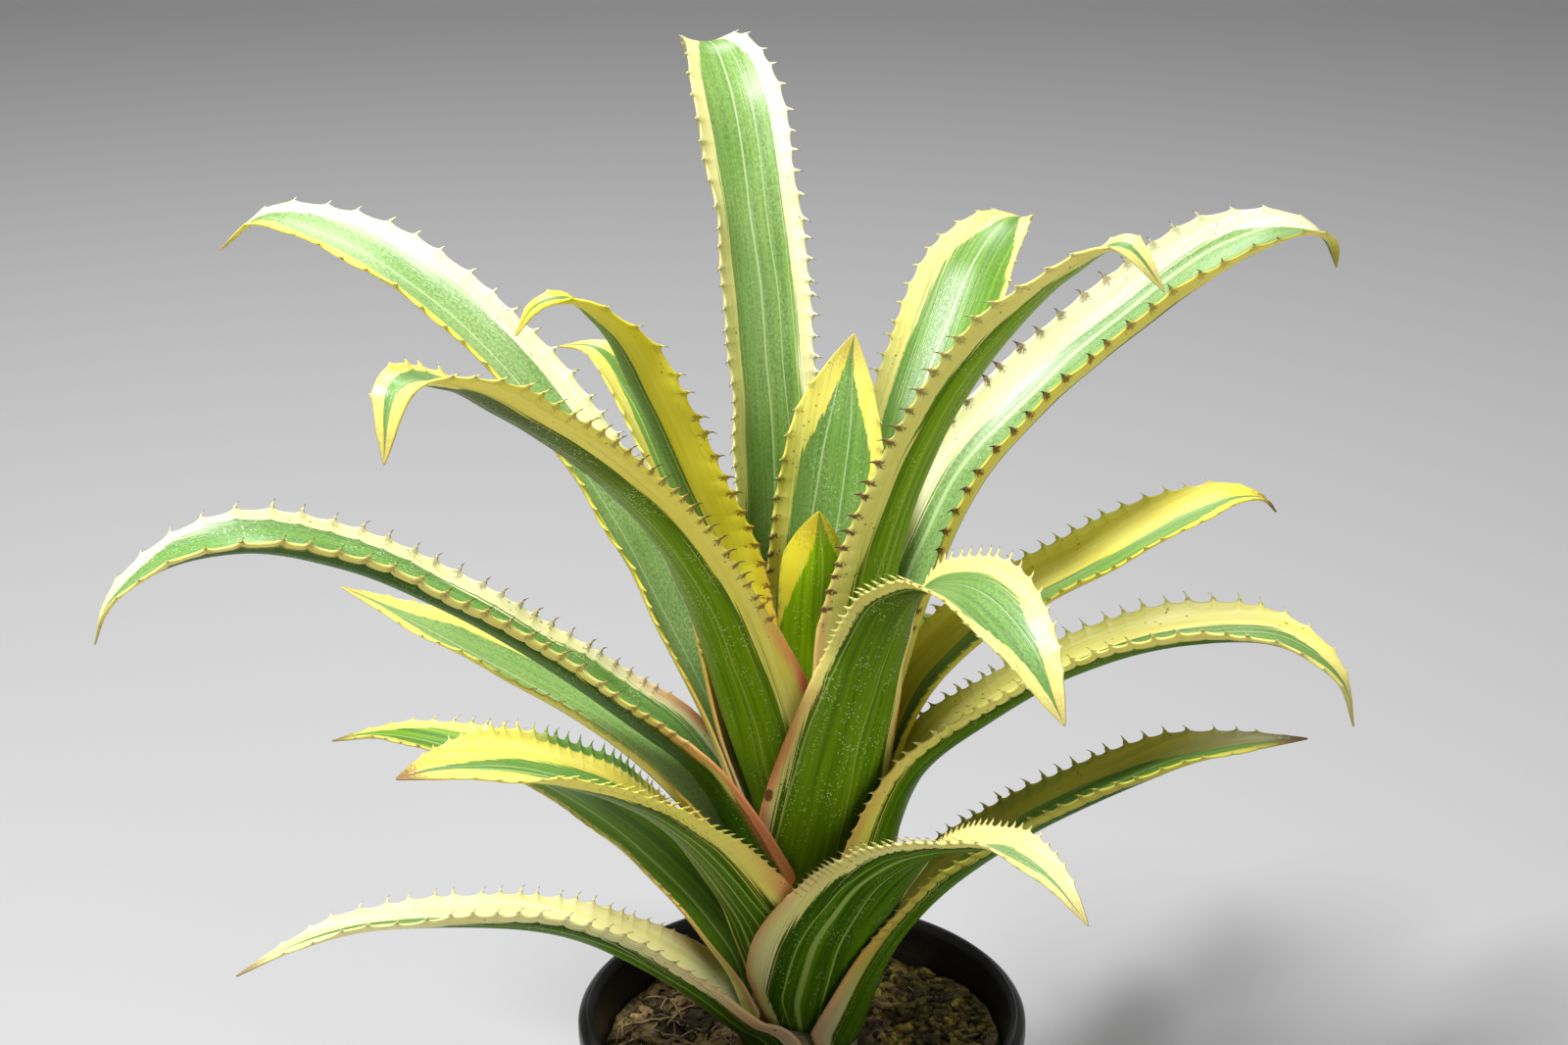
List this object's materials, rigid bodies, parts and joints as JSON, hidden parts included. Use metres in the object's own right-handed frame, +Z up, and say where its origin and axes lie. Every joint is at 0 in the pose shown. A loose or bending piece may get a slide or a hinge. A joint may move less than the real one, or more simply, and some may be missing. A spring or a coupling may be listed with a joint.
{
  "type": "potted bromeliad plant",
  "caption": "Potted variegated hohenbergia: a rosette of arching, channelled, spine-edged leaves in a round plastic nursery pot.",
  "frame": {"origin": "centre of the flat underside of the pot, on its solid floor between the drain holes", "axes": "+Z up along the pot's axis, -Y towards the viewer of the picture, +X to the picture's right"},
  "size_m": [0.3664, 0.3066, 0.3985],
  "materials": {
    "black_plastic": "smooth black nursery-pot plastic, slightly dusty",
    "potting_mix": null,
    "stem": null,
    "leaf": null
  },
  "bodies": {
    "root": {"pot": "black_plastic", "potting_mix": "potting_mix", "stem": "stem", "leaf_01_left_low": "leaf", "leaf_02_right_low": "leaf", "leaf_03_left_back_low": "leaf", "leaf_04_front_low": "leaf", "leaf_05_back_low": "leaf", "leaf_06_front_left_low": "leaf", "leaf_07_back_left_low": "leaf", "leaf_08_right": "leaf", "leaf_09_left_hidden": "leaf", "leaf_10_right_back": "leaf", "leaf_11_left": "leaf", "leaf_12_back_right": "leaf", "leaf_13_front": "leaf", "leaf_14_left_top": "leaf", "leaf_15_back_left": "leaf", "leaf_16_right_top": "leaf", "leaf_17_front_left": "leaf", "leaf_18_top": "leaf", "leaf_19_front_right": "leaf", "leaf_20_upper_left": "leaf", "leaf_21_heart_back": "leaf", "leaf_22_heart": "leaf"}
  },
  "joints": []
}
